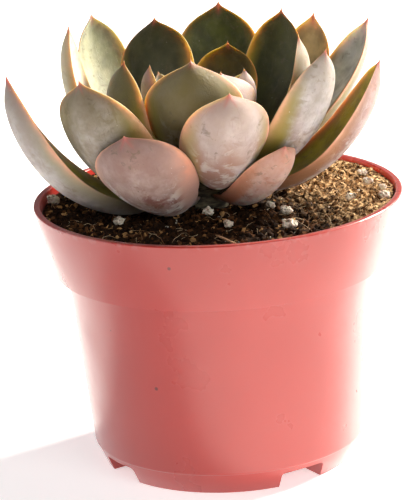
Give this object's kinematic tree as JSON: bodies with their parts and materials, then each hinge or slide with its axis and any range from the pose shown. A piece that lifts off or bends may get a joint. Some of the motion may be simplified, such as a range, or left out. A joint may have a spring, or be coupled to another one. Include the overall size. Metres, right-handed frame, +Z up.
{
  "type": "potted succulent",
  "caption": "Rosette succulent with thick pointed spoon leaves on a short stem, in gritty potting mix, in a small tapered plastic nursery pot.",
  "frame": {"origin": "on the surface the pot stands on, at the middle of the whole object's footprint; the pot's axis is 2.5 mm along +X from it", "axes": "+Z up along the pot's axis; -Y is the front, the side that the plant is seen from; +X is to the right seen from the front"},
  "size_m": [0.1098, 0.105, 0.1275],
  "materials": {
    "pot_plastic": "satin terracotta-coloured polypropylene",
    "potting_mix": "loose dark peat and coir",
    "stem_wood": "dry corky stem",
    "leaf_skin": "waxy bloom over a fleshy leaf",
    "perlite": "matt white expanded mineral",
    "splinter_wood": "raw pale wood"
  },
  "bodies": {
    "root": {"pot": "pot_plastic", "soil": "potting_mix", "stem": "stem_wood", "leaf_01_front_left_low": "leaf_skin", "leaf_02_front_right_low": "leaf_skin", "leaf_03_left_outer": "leaf_skin", "leaf_04_right_outer": "leaf_skin", "leaf_05_far_back_right": "leaf_skin", "leaf_06_back_low": "leaf_skin", "leaf_07_back_left_low": "leaf_skin", "leaf_08_left_front": "leaf_skin", "leaf_09_front_middle": "leaf_skin", "leaf_10_right_front": "leaf_skin", "leaf_11_right_back": "leaf_skin", "leaf_12_back_middle": "leaf_skin", "leaf_13_back_left": "leaf_skin", "leaf_14_left_back": "leaf_skin", "leaf_15_front_left_inner": "leaf_skin", "leaf_16_front_inner": "leaf_skin", "leaf_17_right_inner": "leaf_skin", "leaf_18_back_right_inner": "leaf_skin", "leaf_19_back_left_inner": "leaf_skin", "leaf_20_back_inner": "leaf_skin", "leaf_21_heart_front": "leaf_skin", "leaf_22_heart_left": "leaf_skin", "leaf_23_heart_right": "leaf_skin", "leaf_24_heart_back_left": "leaf_skin", "leaf_25_heart_back_right": "leaf_skin", "leaf_26_heart_back": "leaf_skin", "leaf_27_bud_front": "leaf_skin", "leaf_28_bud_back": "leaf_skin", "leaf_29_bud_left": "leaf_skin", "leaf_30_bud_right": "leaf_skin", "perlite_01": "perlite", "perlite_02": "perlite", "perlite_03": "perlite", "perlite_04": "perlite", "perlite_05": "perlite", "perlite_06": "perlite", "perlite_07": "perlite", "perlite_08": "perlite", "perlite_09": "perlite", "perlite_10": "perlite", "perlite_11": "perlite", "perlite_12": "perlite", "perlite_13": "perlite", "perlite_14": "perlite", "wood_splinter": "splinter_wood"}
  },
  "joints": []
}
